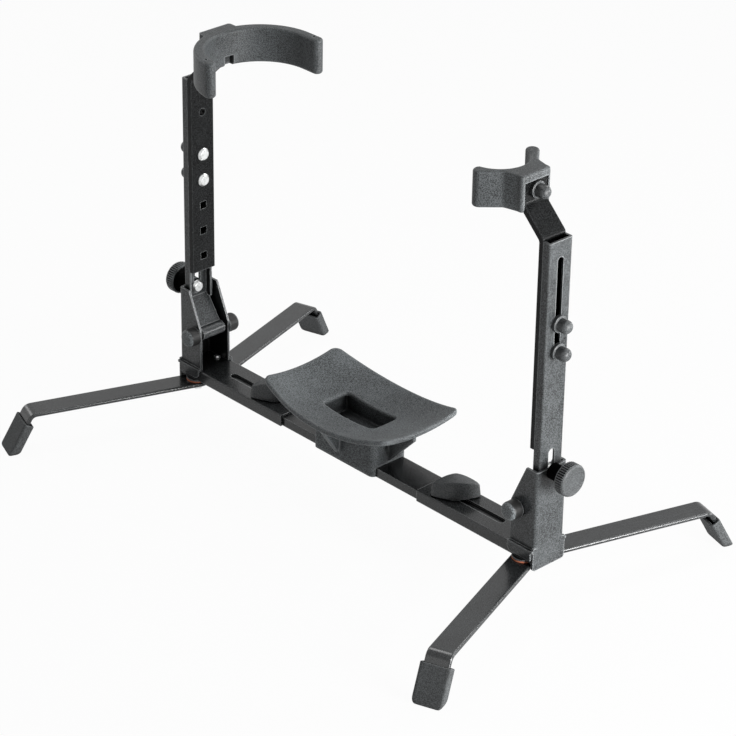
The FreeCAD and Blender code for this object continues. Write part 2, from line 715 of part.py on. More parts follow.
def cap_nut(label):
    bore = "bolt_dia / 2 + running_gap"
    made = turned(label, [
        (bore, "0"), ("cap_nut_dia / 2", "0"), ("cap_nut_dia / 2", "cap_nut_rim"),
        ("cap_nut_ball / 2", "cap_nut_rim + 0.6"), ("cap_nut_ball / 2", "cap_nut_long"),
        ("0", "cap_nut_long"), ("0", "cap_nut_long - 2.5"), (bore, "cap_nut_long - 2.5")])
    rounded(made, "cap_nut_ball / 2 - 1", lambda e: abs(e.BoundBox.ZMin - number("cap_nut_long")) < 0.01)
    return made


# straps: cranked flat bar with a row of square holes
strap = body("right_strap")
item = sketch(strap, "XZ_Plane")
low_z, high_z, lift = "rail_top + strap_bend_low", "rail_top + strap_bend_high", "strap_thick * 0.35"
path(item, [("strap_inner", "rail_top + strap_start"), ("strap_face", "rail_top + strap_start"),
            ("strap_face", low_z + " + " + lift), ("crank_face", high_z + " + " + lift),
            ("crank_face", "rail_top + strap_end"), ("crank_inner", "rail_top + strap_end"),
            ("crank_inner", high_z + " - " + lift), ("strap_inner", low_z + " - " + lift)])
pad(strap, item, "strap_width", both=True)
rounded(strap, "strap_bend", lambda e: runs(e, "y")
        and number("rail_top + strap_start") + 9 < e.CenterOfMass.z < number("rail_top + strap_end") - 9)
rounded(strap, "strap_edge", lambda e: runs(e, "z"))
item = sketch(strap, "YZ_Plane", "strap_face")
box_path(item, "-hole_size / 2", "neck_hole_z - hole_size / 2",
         "hole_size / 2", "neck_hole_z + hole_size / 2")
square = pocket(strap, item)
row = strap.newObject("PartDesign::LinearPattern", "right_strap_row")
row.Originals = [square]
row.Direction = (plane(strap, "Z_Axis"), [""])
row.Reversed = True
row.setExpression("Length", ex("hole_pitch * (hole_count - 1)"))
row.setExpression("Occurrences", ex("hole_count"))
strap.Tip = row
doc.recompute()
item = sketch(strap, "YZ_Plane", "strap_face")
ring(item, "0", "rail_top + pin_hole_up", "pin_hole_dia / 2")
ring(item, "0", "nut_z", "bolt_dia / 2 + running_gap")
pocket(strap, item)
both_ends(strap, "strap")

for name, parts in (("strap_bolts", 2), ("cap_nuts", 2)):
    members = []
    for step in range(parts):
        height = "neck_hole_z - %d * hole_pitch" % step
        if name == "strap_bolts":
            made = coach_bolt("right_strap_bolt_%d" % step, "strap_thick - 0.2",
                              "strap_thick + upright_depth + cap_nut_long - 3.5")
            members.append(put(made, "strap_inner", "0", height, outward))
        else:
            members.append(put(cap_nut("right_cap_nut_%d" % step), "plate_inner", "0", height, outward))
    both_ends(group("right_" + name, members), name)

# thumb bolts and thumb knobs
thumb_bolt = coach_bolt("right_thumb_bolt", "upright_sheet",
                        "upright_sheet + bracket_sheet + thumb_collar_long + thumb_thick - 7")
both_ends(put(thumb_bolt, "web_inner", "0", "bolt_z", outward), "thumb_bolt")
thumb_long = "thumb_collar_long + thumb_thick"
thumb_bore = "bolt_dia / 2 + running_gap"
thumb = turned("right_thumb_knob", [
    (thumb_bore, "0"), ("thumb_collar_dia / 2", "0"), ("thumb_collar_dia / 2", "thumb_collar_long"),
    ("thumb_dia / 2 - thumb_edge", "thumb_collar_long"), ("thumb_dia / 2", "thumb_collar_long + thumb_edge"),
    ("thumb_dia / 2", thumb_long + " - thumb_edge"), ("thumb_dia / 2 - thumb_edge", thumb_long),
    ("0", thumb_long), ("0", thumb_long + " - 6.5"), (thumb_bore, thumb_long + " - 6.5")])
both_ends(put(thumb, "plate_face", "0", "bolt_z", outward), "thumb_knob")


def socket(owner, bottom, face):
    # recess for the strap's end, open at the back and below, and a blind hole for the stud
    item = sketch(owner, "XY_Plane", bottom)
    box_path(item, "crank_inner", "-strap_width / 2 - socket_gap",
             "socket_back + 1", "strap_width / 2 + socket_gap")
    pocket(owner, item, "rail_top + strap_end + socket_gap - (%s)" % bottom, back=True)
    item = sketch(owner, "YZ_Plane", "crank_inner")
    ring(item, "0", "nut_z", "bolt_dia / 2 + running_gap")
    pocket(owner, item, "crank_inner - (%s) - stud_skin" % face)


# bell holder: C-shaped band with a mounting block, drawn for the right and mirrored to the left
holder = body("bell_holder_plan")
holder_low, holder_high = "rail_top + holder_low", "rail_top + holder_high"
item = sketch(holder, "XY_Plane", holder_low)
band_mid, band_half = "((holder_outer + holder_inner) / 2)", "((holder_outer - holder_inner) / 2)"
ca, sa = "cos(holder_near_turn)", "sin(holder_near_turn)"
path(item, [("holder_centre + holder_outer * " + ca, "-holder_outer * " + sa),
            ("holder_centre + holder_outer", "0"), ("holder_centre", "holder_outer"),
            ("holder_tip", "holder_outer"), ("holder_tip - " + band_half, band_mid),
            ("holder_tip", "holder_inner"),
            ("holder_centre", "holder_inner"), ("holder_centre + holder_inner", "0"),
            ("holder_centre + holder_inner * " + ca, "-holder_inner * " + sa),
            ("holder_centre + %s * %s - %s * %s" % (band_mid, ca, band_half, sa),
             "-%s * %s - %s * %s" % (band_mid, sa, band_half, ca))],
     {0: ("holder_outer", 1), 1: ("holder_outer", 1), 3: (band_half, 1), 4: (band_half, 1),
      6: ("holder_inner", -1), 7: ("holder_inner", -1), 8: (band_half, 1), 9: (band_half, 1)})
pad(holder, item, "holder_high - holder_low")
rounded(holder, "holder_edge", lambda e: e.BoundBox.ZLength < 0.01)
item = sketch(holder, "XY_Plane", holder_low)
box_path(item, "holder_centre + holder_inner + 3", "-holder_block_width / 2", "socket_back",
         "holder_block_width / 2")
pad(holder, item, "holder_high - holder_low")
rounded(holder, "holder_edge", lambda e: runs(e, "z")
        and abs(e.CenterOfMass.x - number("socket_back")) < 0.01)
socket(holder, holder_low, "(holder_centre + holder_inner)")
item = sketch(holder, "YZ_Plane", "holder_centre + holder_inner - 2")
box_path(item, "relief_side - relief_wide / 2", "rail_top + holder_low - 1", "relief_side + relief_wide / 2",
         "rail_top + holder_low + relief_high")
pocket(holder, item, "relief_deep + 2", back=True)
item = sketch(holder, "XY_Plane", holder_high)
ring(item, "holder_centre + %s * cos(pit_turn)" % band_mid, "-%s * sin(pit_turn)" % band_mid, "pit_dia / 2")
ring(item, "holder_tip + pit_back", band_mid, "pit_dia / 2")
pocket(holder, item, "pit_deep")
nodes.append(mirrored(holder, "bell_holder", acrossX))

# fork: shallow forked rest on the right strap
fork = body("fork")
fork_low, fork_high = "rail_top + fork_low", "rail_top + fork_high"
fork_side = "(strap_width / 2 + socket_gap + socket_wall)"
hollow = "(fork_inner_in - fork_bottom_in)"
item = sketch(fork, "XY_Plane", fork_low)
bend_at, back_at = "crank_face - fork_bend_in", "socket_back"
plan = [("crank_face - fork_tip_in", "fork_tip_y"), (bend_at, "fork_bend_y"), ("crank_inner", fork_side),
        (back_at, fork_side)]
nose = [("crank_face - fork_nose_in", "fork_nose_y"), ("crank_face - fork_inner_in", "fork_inner_y")]
path(item, [(x, "-" + y) for x, y in plan] + plan[::-1] + nose + [(x, "-" + y) for x, y in nose[::-1]],
     {7: ("fork_nose", 1), 8: ("fork_nose", 1), 10: ("fork_nose", 1), 11: ("fork_nose", 1),
      9: ("(fork_inner_y^2 + %s^2) / 2 / %s" % (hollow, hollow), -1)})
pad(fork, item, "fork_high - fork_low")
for place, radius in ((bend_at, "fork_edge * 2"), (back_at, "fork_edge * 1.3")):
    rounded(fork, radius, lambda e: runs(e, "z") and abs(e.CenterOfMass.x - number(place)) < 0.01)
rounded(fork, "fork_edge", lambda e: e.BoundBox.ZLength < 0.01)
socket(fork, fork_low, "fork_bottom_x")
nodes.append(fork)

# studs and cap nuts of fork and bell holder
holder_face = "(holder_centre + holder_inner)"
for name, face, side in (("fork", "fork_bottom_x", ""), ("holder", holder_face, "_plan")):
    start = "%s + stud_skin" % face
    stud_long = "crank_face - (%s) + cap_nut_long - 3.5" % start
    made = turned(name + "_bolt" + side, [
        ("0", "0"), ("bolt_dia / 2", "0"), ("bolt_dia / 2", stud_long), ("0", stud_long)])
    put(made, start, "0", "nut_z", outward)
    end = put(cap_nut(name + "_cap_nut" + side), "crank_face", "0", "nut_z", outward)
    if name == "fork":
        nodes.extend([made, end])
    else:
        nodes.append(mirrored(made, "holder_bolt", acrossX))
        nodes.append(mirrored(end, "holder_cap_nut", acrossX))

# cradle: part of a hollow ball, cut to outline, on a block with ribs, hollow above and below its floor
block = body("cradle_block")
item = sketch(block, "XY_Plane", "rail_top - block_drop")
box_path(item, "-block_half_long", "-block_half_wide", "block_half_long", "block_half_wide")
pad(block, item, "cradle_low + block_drop + 25")
rounded(block, "block_corner", lambda e: runs(e, "z"))
item = sketch(block, "XY_Plane", "centre_top + block_floor")
box_path(item, "block_wall - block_half_long", "block_wall - block_half_wide",
         "block_half_long - block_wall", "block_half_wide - block_wall")
pocket(block, item, "100", back=True)
item = sketch(block, "YZ_Plane")
box_path(item, "-centre_wide - nest_gap", "rail_top - block_drop - 1",
         "centre_wide + nest_gap", "centre_top")
pocket(block, item)
item = sketch(block, "XY_Plane", "centre_top")
box_path(item, "block_wall - block_half_long", "block_wall - block_half_wide",
         "block_half_long - block_wall", "block_half_wide - block_wall")
for sign in ("", "-"):
    ring(item, sign + "screw_place", "0", "boss_dia / 2")
pocket(block, item, "block_floor - block_deck", back=True)
item = sketch(block, "YZ_Plane", "gusset_place")
ledge_z = "rail_top - gusset_low"
path(item, [("-gusset_out", "rail_top + cradle_low + 2"), ("-block_half_wide - 3", ledge_z),
            ("-block_half_wide + 1", ledge_z), ("-block_half_wide + 1", "rail_top + cradle_low + 20"),
            ("-gusset_out", "rail_top + cradle_low + 20")])
gusset = pad(block, item, "rib_thick", both=True)
item = sketch(block, "XZ_Plane")
path(item, [("block_half_long - 1", "rail_top"), ("block_half_long + 0.5", "rail_top"),
            ("rib_out", "rail_top + cradle_low"), ("rib_out", "rail_top + cradle_low + 30"),
            ("block_half_long - 1", "rail_top + cradle_low + 30")])
rib = pad(block, item, "rib_thick", both=True)
for role, feature in (("XZ_Plane", gusset), ("YZ_Plane", rib)):
    twin = block.newObject("PartDesign::Mirrored", "cradle_block_twin")
    twin.Originals = [feature]
    twin.MirrorPlane = (plane(block, role), [""])
    block.Tip = twin
    doc.recompute()


def ball(label, radius):
    made = doc.addObject("Part::Sphere", label)
    made.setExpression("Radius", ex(radius))
    made.setExpression("Placement.Base.z", ex("bowl_z"))
    return made


def joined(kind, label, base, tool):
    made = doc.addObject(kind, label)
    made.Base = base
    made.Tool = tool
    doc.recompute()
    return made


shell = joined("Part::Cut", "cradle_shell", ball("cradle_ball_out", "cradle_radius + cradle_thick"),
               ball("cradle_ball_in", "cradle_radius"))
outline = body("cradle_outline")
item = sketch(outline, "XY_Plane", "rail_top + 10")
bow = "(cradle_half_long^2 + cradle_bulge^2) / 2 / cradle_bulge"
path(item, [("-cradle_half_long", "-cradle_half_wide"), ("cradle_half_long", "-cradle_half_wide"),
            ("cradle_half_long", "cradle_half_wide"), ("-cradle_half_long", "cradle_half_wide")],
     {0: (bow, 1), 2: (bow, 1)})
pad(outline, item, "cradle_radius / 2")
rounded(outline, "cradle_corner", lambda e: runs(e, "z"))
item = sketch(outline, "XY_Plane")
box_path(item, "-cradle_hole_long / 2", "-cradle_hole_wide / 2",
         "cradle_hole_long / 2", "cradle_hole_wide / 2")
pocket(outline, item)
rounded(outline, "cradle_hole_corner", lambda e: runs(e, "z")
        and abs(e.CenterOfMass.x) < number("cradle_hole_long")
        and abs(e.CenterOfMass.y) < number("cradle_hole_wide"))
dish = joined("Part::Common", "cradle_dish", shell, outline)
rim = doc.addObject("Part::Fillet", "cradle_edges")
rim.Base = dish
rim.Edges = [(i + 1, number("cradle_rim"), number("cradle_rim")) for i, e in enumerate(dish.Shape.Edges)
             if max(e.BoundBox.XLength, e.BoundBox.YLength) > 0.5]
doc.recompute()
stem = joined("Part::Cut", "cradle_stem", block, ball("cradle_ball_mid", "cradle_radius + cradle_thick / 2"))
whole = joined("Part::Fuse", "cradle_whole", rim, stem)
screw_holes = []
for step, sign in enumerate(("", "-")):
    hole = doc.addObject("Part::Cylinder", "cradle_hole_%d" % step)
    hole.setExpression("Radius", ex("screw_dia / 2 + running_gap"))
    hole.setExpression("Height", ex("block_floor * 3"))
    put(hole, sign + "screw_place", "0", "centre_top - block_floor")
    screw_holes.append(hole)
cradle = joined("Part::Cut", "cradle", whole, group("cradle_holes", screw_holes))
cradle.Label = "cradle"
put(cradle, "cradle_place", "0", "0")
nodes.append(cradle)
screws = []
for step, sign in enumerate(("", "-")):
    made = turned("cradle_screw_%d" % step, [
        ("0", "-block_floor - rail_sheet - 1"), ("screw_dia / 2", "-block_floor - rail_sheet - 1"),
        ("screw_dia / 2", "0"), ("screw_head_dia / 2", "0"), ("screw_head_dia / 2", "screw_head_high * 0.6"),
        ("screw_head_dia / 2 - 1", "screw_head_high"), ("0", "screw_head_high")])
    screws.append(put(made, "cradle_place %s screw_place" % (sign or "+"), "0", "centre_top + block_floor"))
nodes.append(group("cradle_screws", screws))

doc.recompute()
for item in doc.Objects:
    if "Invalid" in item.State or "Error" in item.State:
        raise RuntimeError("broken: " + item.Name)
for item in nodes:
    if item.Shape.isNull() or not item.Shape.isValid():
        raise RuntimeError("bad shape: " + item.Label)
os.makedirs("parts", exist_ok=True)
for item in nodes:
    item.Shape.exportStep("parts/%s.step" % item.Label)
print("pieces written:", len(nodes))
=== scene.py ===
import math

import bpy
from mathutils import Matrix, Vector


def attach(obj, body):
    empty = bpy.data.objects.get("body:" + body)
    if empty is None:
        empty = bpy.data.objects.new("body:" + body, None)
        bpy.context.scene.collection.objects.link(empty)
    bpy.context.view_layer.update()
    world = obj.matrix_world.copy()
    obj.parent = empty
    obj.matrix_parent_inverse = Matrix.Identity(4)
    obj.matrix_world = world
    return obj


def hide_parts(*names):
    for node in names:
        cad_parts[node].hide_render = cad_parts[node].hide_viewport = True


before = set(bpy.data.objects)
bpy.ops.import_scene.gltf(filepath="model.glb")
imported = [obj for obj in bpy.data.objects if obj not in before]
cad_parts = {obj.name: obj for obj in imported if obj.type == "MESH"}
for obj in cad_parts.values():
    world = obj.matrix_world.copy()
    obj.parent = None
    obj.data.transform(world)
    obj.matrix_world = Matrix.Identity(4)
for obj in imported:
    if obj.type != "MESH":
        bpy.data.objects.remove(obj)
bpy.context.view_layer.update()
mm = 0.001


# shader maths: a socket that can be added, multiplied and so on
class Shade:
    def __init__(self, tree, socket=None):
        self.tree = tree
        self.socket = socket

    def node(self, kind, settings=None, inputs=None, take=0):
        made = self.tree.nodes.new("ShaderNode" + kind)
        for name, value in (settings or {}).items():
            setattr(made, name, value)
        for name, value in (inputs or {}).items():
            self.feed(made.inputs[name], value)
        return Shade(self.tree, made.outputs[take])

    def feed(self, socket, value):
        if isinstance(value, Shade):
            self.tree.links.new(value.socket, socket)
        else:
            socket.default_value = value

    def maths(self, operation, a, b=0.0):
        return self.node("Math", {"operation": operation}, {0: a, 1: b})

    def __add__(self, other):
        return self.maths("ADD", self, other)

    def __radd__(self, other):
        return self.maths("ADD", other, self)

    def __sub__(self, other):
        return self.maths("SUBTRACT", self, other)

    def __rsub__(self, other):
        return self.maths("SUBTRACT", other, self)

    def __mul__(self, other):
        return self.maths("MULTIPLY", self, other)

    def __rmul__(self, other):
        return self.maths("MULTIPLY", other, self)

    def __abs__(self):
        return self.maths("ABSOLUTE", self)

    def clipped(self):
        return self.node("Clamp", None, {"Value": self})

    def between(self, low, high):  # 0 below low, 1 above high, smooth between
        return self.node("MapRange", {"interpolation_type": "SMOOTHSTEP"},
                         {"Value": self, "From Min": low, "From Max": high})


def mixColour(s, factor, a, b):
    return s.node("Mix", {"data_type": "RGBA"}, {0: factor, 6: a, 7: b}, take=2)


def grey(level, cool=0.0):
    return (level * (1 - cool), level, level * (1 + cool / 2), 1.0)


def newFinish(name, constants):
    made = bpy.data.materials.new(name)
    made.use_nodes = True
    tree = made.node_tree
    shader = tree.nodes["Principled BSDF"]
    for socket, value in constants.items():
        shader.inputs[socket].default_value = value
    return made, Shade(tree), shader


def noise(s, place, scale, detail=2.0, rough=0.5):
    return s.node("TexNoise", None, {"Vector": place, "Scale": scale, "Detail": detail, "Roughness": rough})


def softNormal(s, radius):
    return s.node("Bevel", {"samples": 5}, {"Radius": radius})


def edgeMask(s, radius, gain=6.0):
    # 1 on an edge, fading to 0 beside it
    flat = s.node("NewGeometry", take="Normal")
    match = s.node("VectorMath", {"operation": "DOT_PRODUCT"},
                   {0: softNormal(s, radius), 1: flat}, take="Value")
    return ((1 - match) * gain).clipped()


def paintedShadeMask(s, reach):
    # painted shade: 1 deep in a crease or recess, 0 in the open
    openness = s.node("AmbientOcclusion", {"samples": 8}, {"Distance": reach}, take="AO")
    return 1 - openness.between(0.2, 0.95)


def paintedShadeAndEdges(s, choice, colour, edge):
    # painted shade darkens creases and recesses; edges are painted pale, partly as highlight and partly as
    # wear
    paintedShade = paintedShadeMask(s, choice["paintedShadeReach"]) * choice["paintedShadeDepth"]
    colour = mixColour(s, paintedShade, colour, choice["paintedShade"])
    return mixColour(s, edge * choice["edgeHighlightAndWear"], colour, choice["edge"])


def dress(s, shader, choice, colour, rough, height):
    bump = {"Strength": choice["bump"], "Distance": choice["bumpDepth"], "Height": height}
    if "edgeRadius" in choice:  # edges shade as if slightly rounded
        bump["Normal"] = softNormal(s, choice["edgeRadius"])
    s.feed(shader.inputs["Base Color"], colour)
    s.feed(shader.inputs["Roughness"], rough)
    s.feed(shader.inputs["Normal"], s.node("Bump", None, bump))


# powder coat on the brackets and uprights
powderCoat = {
    "colour": grey(0.001, 0.07), "dust": grey(0.098, 0.07), "edge": grey(0.45, 0.04), "paintedShade": grey(0.001),
    "roughness": 0.30, "gloss": 0.16, "shine": 0.22, "shineRoughness": 0.14,
    # scale of each pattern, the levels between which it shows, and its share of the dust
    "cloud": 38.0, "peel": 1150.0, "speck": 2300.0,
    "cloudLevels": (0.35, 0.75), "peelLevels": (0.42, 0.62), "speckLevels": (0.42, 0.60),
    "cloudShare": 0.25, "peelShare": 0.60, "speckShare": 0.30,
    # how much the patterns change the roughness and the height
    "cloudRough": 0.14, "speckRough": 0.10, "edgePolish": 0.06, "peelHeight": 0.7, "speckHeight": 0.3,
    # painted shade in creases and recesses: how far it reaches and how dark it gets
    "paintedShadeReach": 45 * mm, "paintedShadeDepth": 0.92,
    # edges painted pale, partly as highlight and partly as wear
    "edgeRadius": 0.8 * mm, "edgeSpread": 1.8, "edgeHighlightAndWear": 0.6,
    "bump": 0.30, "bumpDepth": 0.25 * mm,
}
# the rails and legs take the same coat, rubbed smoother and glossier
railCoat = dict(powderCoat, dust=grey(0.050, 0.07), roughness=0.22, gloss=0.30, shine=0.06, bump=0.20)
legCoat = dict(powderCoat, dust=grey(0.034, 0.09), edge=grey(0.30, 0.04),
               roughness=0.22, gloss=0.46, shine=0.0, bump=0.015)
# blacker, smoother coat on the cranked straps and the hinge rods
strapCoat = dict(powderCoat, colour=grey(0.001, 0.06), dust=grey(0.018, 0.06), edge=grey(0.22, 0.04),
                 paintedShade=grey(0.002), paintedShadeReach=20 * mm, roughness=0.24, gloss=0.07, shine=0.06,
                 peel=950.0, speck=1900.0, edgeRadius=0.7 * mm)


def makePowderCoat(name, choice):
    made, s, shader = newFinish(name, {
        "IOR": 1.5, "Specular IOR Level": choice["gloss"],
        "Coat Weight": choice["shine"], "Coat Roughness": choice["shineRoughness"]})
    place = s.node("TexCoord", take="Object")
    edge = edgeMask(s, choice["edgeRadius"] * choice["edgeSpread"])
    cloud = noise(s, place, choice["cloud"], 4.0, 0.6)
    peel = noise(s, place, choice["peel"], 2.0)
    speck = noise(s, place, choice["speck"], 1.0)
    dust = cloud.between(*choice["cloudLevels"]) * choice["cloudShare"]
    dust = dust + peel.between(*choice["peelLevels"]) * choice["peelShare"]
    dust = dust + speck.between(*choice["speckLevels"]) * choice["speckShare"]
    colour = mixColour(s, dust.clipped(), choice["colour"], choice["dust"])
    rough = choice["roughness"] + (cloud - 0.5) * choice["cloudRough"] + (speck - 0.5) * choice["speckRough"]
    rough = rough - edge * choice["edgePolish"]
    height = peel * choice["peelHeight"] + speck * choice["speckHeight"]
    dress(s, shader, choice, paintedShadeAndEdges(s, choice, colour, edge), rough, height)
    return made


# moulded plastic of the holder and fork: fine spark grain, edges painted a little paler, partly as highlight
# and partly as wear
mouldedPlastic = {
    "colour": grey(0.008, 0.08), "pale": grey(0.112, 0.08), "edge": grey(0.34, 0.05), "paintedShade": grey(0.008),
    "roughness": 0.50, "gloss": 0.30,
    "cloud": 30.0, "grain": 1200.0, "pitScale": 0.6,
    "cloudLevels": (0.35, 0.75), "grainLevels": (0.38, 0.62), "cloudShare": 0.25, "grainShare": 0.75,
    "cloudRough": 0.16, "grainRough": 0.12, "edgePolish": 0.08, "grainHeight": 0.7, "pitHeight": 0.4,
    "paintedShadeReach": 20 * mm, "paintedShadeDepth": 0.9,
    "edgeRadius": 1.2 * mm, "edgeSpread": 1.8, "edgeHighlightAndWear": 0.6,
    "bump": 0.16, "bumpDepth": 0.2 * mm,
}
# dome caps of the hinge rods: flanks painted dark as shade, ends painted paler as lit
capPlastic = dict(mouldedPlastic, pale=grey(0.24, 0.08), paintedShadeReach=9 * mm,
                  flank=grey(0.006), flankLevels=(0.22, 0.50))
# duller, paler moulding of the cradle, its rim well rounded
cradlePlastic = dict(mouldedPlastic, colour=grey(0.012, 0.08), pale=grey(0.185, 0.08), edge=grey(0.24, 0.05),
                     paintedShade=grey(0.004), paintedShadeReach=24 * mm, roughness=0.55, gloss=0.20, bump=0.18,
                     edgeRadius=2.4 * mm)
# harder knobs and cap nuts
knobPlastic = dict(mouldedPlastic, colour=grey(0.016, 0.06), pale=grey(0.100, 0.06), edge=grey(0.34, 0.05),
                   paintedShade=grey(0.003), paintedShadeReach=3 * mm, roughness=0.42, gloss=0.28,
                   grain=1300.0, bump=0.12, edgeRadius=0.6 * mm)
# grooves and collar of the thumb knobs, painted black as shade
knobPaintedShade = dict(knobPlastic, colour=grey(0.001), pale=grey(0.006), edge=grey(0.01),
                  roughness=0.7, gloss=0.0)
# soft rubber of the boots
bootRubber = dict(mouldedPlastic, colour=grey(0.012, 0.06), pale=grey(0.090, 0.06), edge=grey(0.22, 0.05),
                  paintedShade=grey(0.010), paintedShadeReach=8 * mm, roughness=0.78, gloss=0.40, bump=0.14,
                  edgeRadius=0.9 * mm)


def makeGrained(name, choice):
    made, s, shader = newFinish(name, {"IOR": 1.5, "Specular IOR Level": choice["gloss"]})
    place = s.node("TexCoord", take="Object")
    edge = edgeMask(s, choice["edgeRadius"] * choice["edgeSpread"])
    cloud = noise(s, place, choice["cloud"], 4.0, 0.6)
    grain = noise(s, place, choice["grain"], 3.0, 0.6)
    pits = s.node("TexVoronoi", {"feature": "F1"},
                  {"Vector": place, "Scale": choice["grain"] * choice["pitScale"]})
    paleness = cloud.between(*choice["cloudLevels"]) * choice["cloudShare"]
    paleness = paleness + grain.between(*choice["grainLevels"]) * choice["grainShare"]
    colour = mixColour(s, paleness.clipped(), choice["colour"], choice["pale"])
    if "flank" in choice:  # faces that don't look along the rod take painted shade
        alongRod = s.node("SeparateXYZ", None, {0: s.node("TexCoord", take="Normal")}, take="Y")
        colour = mixColour(s, abs(alongRod).between(*choice["flankLevels"]), choice["flank"], colour)
    rough = choice["roughness"] + (cloud - 0.5) * choice["cloudRough"] + (grain - 0.5) * choice["grainRough"]
    rough = rough - edge * choice["edgePolish"]
    height = grain * choice["grainHeight"] + pits * choice["pitHeight"]
    dress(s, shader, choice, paintedShadeAndEdges(s, choice, colour, edge), rough, height)
    return made


# bright zinc on the bolts, studs, pins, screws and lock nuts
brightZinc = {
    "colour": (0.72, 0.73, 0.73, 1.0), "dull": (0.52, 0.53, 0.52, 1.0), "roughness": 0.24,
    "cloud": 420.0, "fine": 6000.0, "cloudLevels": (0.4, 0.7), "cloudRough": 0.12, "fineRough": 0.1,
    "edgeRadius": 0.4 * mm, "bump": 0.08, "bumpDepth": 0.1 * mm,
}


def makeZinc(name, choice):
    made, s, shader = newFinish(name, {"Metallic": 1.0})
    place = s.node("TexCoord", take="Object")
    cloud = noise(s, place, choice["cloud"], 3.0)
    fine = noise(s, place, choice["fine"], 2.0)
    colour = mixColour(s, cloud.between(*choice["cloudLevels"]), choice["colour"], choice["dull"])
    rough = choice["roughness"] + cloud * choice["cloudRough"] + (fine - 0.5) * choice["fineRough"]
    dress(s, shader, choice, colour, rough, fine)
    return made


# red fibre of the leg washers
redFibre = {
    "colour": (0.46, 0.12, 0.06, 1.0), "pale": (0.68, 0.25, 0.14, 1.0), "roughness": 0.62,
    "strand": 2200.0, "stretch": (0.35, 1.0, 3.0), "strandLevels": (0.35, 0.7), "strandRough": 0.3,
    "bump": 0.25, "bumpDepth": 0.15 * mm,
}


def makeFibre(name, choice):
    made, s, shader = newFinish(name, {"IOR": 1.45})
    drawn = s.node("Mapping", None, {"Vector": s.node("TexCoord", take="Object"), "Scale": choice["stretch"]})
    strand = noise(s, drawn, choice["strand"], 4.0, 0.65)
    colour = mixColour(s, strand.between(*choice["strandLevels"]), choice["colour"], choice["pale"])
    rough = choice["roughness"] + (strand - 0.5) * choice["strandRough"]
    dress(s, shader, choice, colour, rough, strand)
    return made


finishes = {
    "steel": makePowderCoat("blackPowderCoat", powderCoat),
    "rail": makePowderCoat("blackRailCoat", railCoat),
    "leg": makePowderCoat("blackLegCoat", legCoat),
    "strap": makePowderCoat("blackStrapCoat", strapCoat),
    "plastic": makeGrained("mouldedPlastic", mouldedPlastic),
    "cap": makeGrained("capPlastic", capPlastic),
    "cradle": makeGrained("cradlePlastic", cradlePlastic),
    "paintedGrooveShade": makeGrained("knobPaintedShade", knobPaintedShade),
    "knob": makeGrained("knobPlastic", knobPlastic),
    "rubber": makeGrained("bootRubber", bootRubber),
    "zinc": makeZinc("brightZinc", brightZinc),
    "fibre": makeFibre("redFibre", redFibre),
}

# which finish each piece of the frame takes, by the last word of its name; the rest is powder coated
finishWords = {
    "rubber": ("foot",),
    "rail": ("rail", "channel"),
    "leg": ("leg",),
    "strap": ("strap", "rod"),
    "zinc": ("bolt", "bolts", "screws", "stud", "pins"),
    "cradle": ("cradle",),
    "knob": ("knob", "nut", "nuts"),
    "cap": ("caps",),
    "plastic": ("holder", "fork"),
}


def finishOf(node):
    words = node.split("_")
    if "fibre" in words:
        return "fibre"
    if "lock" in words:
        return "zinc"
    for finish, endings in finishWords.items():
        if words[-1] in endings:
            return finish
    return "steel"


for nodeName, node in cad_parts.items():
    node.data.materials.clear()
    node.data.materials.append(finishes[finishOf(nodeName)])
print("finishes:", len(finishes), "on", len(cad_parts), "nodes")


# mesh helpers
def ringFaces(ringCount, perRing):
    faces = []
    for row in range(ringCount - 1):
        for k in range(perRing):
            nextK = (k + 1) % perRing
            a, b = row * perRing + k, row * perRing + nextK
            faces.append((a, b, b + perRing, a + perRing))
    return faces


def addPiece(name, rings, place, finish, body, replaced, sharp, bridged=False):
    # closed loft through rings of equal length; the first and last rings are closed by a centre point,
    # or the last one straight across when bridged
    perRing = len(rings[0])
    points = [place @ Vector(point) for ring in rings for point in ring]
    faces = ringFaces(len(rings), perRing)
    top = (len(rings) - 1) * perRing
    if bridged:
        for k in range(perRing // 2):
            corners = (top + k, top + k + 1, top + perRing - k - 1, top + (perRing - k) % perRing)
            faces.append(tuple(dict.fromkeys(corners)))
    for ring, first, turn in ((rings[0], 0, -1), (rings[-1], top, 1))[:1 if bridged else 2]:
        centre = sum((Vector(point) for point in ring), Vector()) / perRing
        points.append(place @ centre)
        for k in range(perRing):
            pair = (first + k, first + (k + 1) % perRing)
            faces.append((*pair[::turn], len(points) - 1))
    if place.determinant() < 0:
        faces = [tuple(reversed(face)) for face in faces]
    mesh = bpy.data.meshes.new(name)
    mesh.from_pydata([point * mm for point in points], [], faces)
    mesh.validate()
    mesh.shade_smooth()
    mesh.set_sharp_from_angle(angle=math.radians(sharp))
    mesh.materials.append(finishes[finish])
    piece = bpy.data.objects.new(name, mesh)
    bpy.context.scene.collection.objects.link(piece)
    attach(piece, body)
    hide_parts(replaced)
    return piece


def mirror(x=1, y=1):
    return Matrix.Diagonal((x, y, 1, 1))


def quarterTurn(steps):
    return [math.radians(90 * step / steps) for step in range(steps + 1)]


